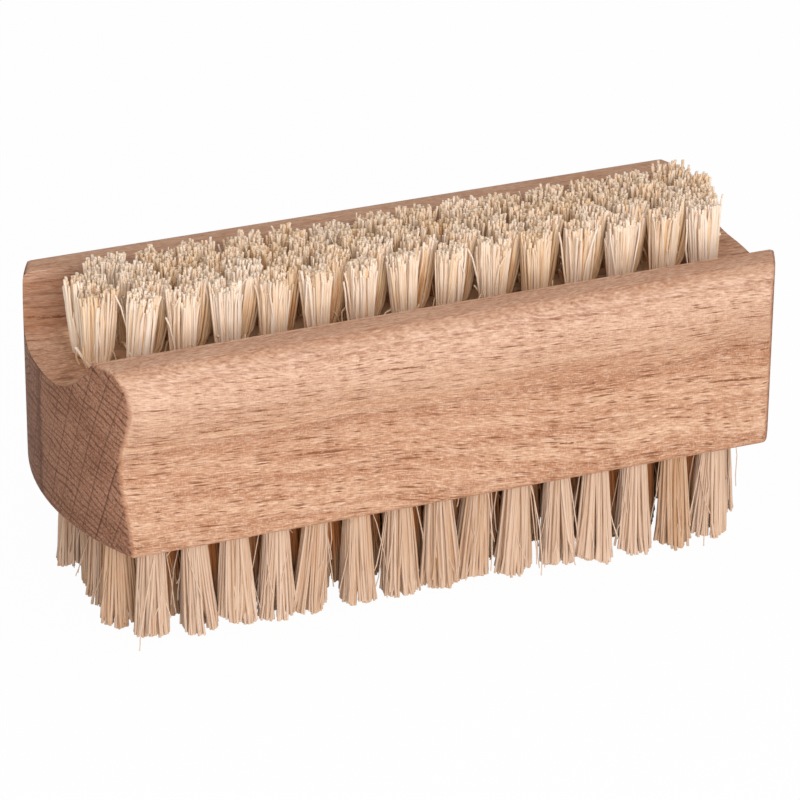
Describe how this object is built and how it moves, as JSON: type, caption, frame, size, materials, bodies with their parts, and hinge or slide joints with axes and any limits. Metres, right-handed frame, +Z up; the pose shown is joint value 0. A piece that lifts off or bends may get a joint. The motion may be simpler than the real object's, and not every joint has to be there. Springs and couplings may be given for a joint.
{
  "type": "nail brush",
  "caption": "Double-sided wooden nail brush: a waisted block with short tufts in a trough along the top and longer tufts under its flat base.",
  "frame": {"origin": "centre of the rectangle that the lower bristles' tips stand on", "axes": "+X along the brush, -Y towards the front side, +Z up from the lower bristles to the upper ones"},
  "size_m": [0.095, 0.0384, 0.0428],
  "materials": {
    "beech": "sanded, unlacquered",
    "upper_fibre": "stiff pale plant fibre",
    "lower_fibre": "stiff pale plant fibre",
    "anchor_wire": "flat drawn wire"
  },
  "bodies": {
    "root": {"block": "beech", "top_tufts_1": "upper_fibre", "top_tufts_2": "upper_fibre", "top_tufts_3": "upper_fibre", "top_tufts_4": "upper_fibre", "base_tufts_1": "lower_fibre", "base_tufts_2": "lower_fibre", "base_tufts_3": "lower_fibre", "base_tufts_4": "lower_fibre", "base_tufts_5": "lower_fibre", "base_tufts_6": "lower_fibre", "top_anchors_1": "anchor_wire", "top_anchors_2": "anchor_wire", "top_anchors_3": "anchor_wire", "top_anchors_4": "anchor_wire", "base_anchors_1": "anchor_wire", "base_anchors_2": "anchor_wire", "base_anchors_3": "anchor_wire", "base_anchors_4": "anchor_wire", "base_anchors_5": "anchor_wire", "base_anchors_6": "anchor_wire"}
  },
  "joints": []
}
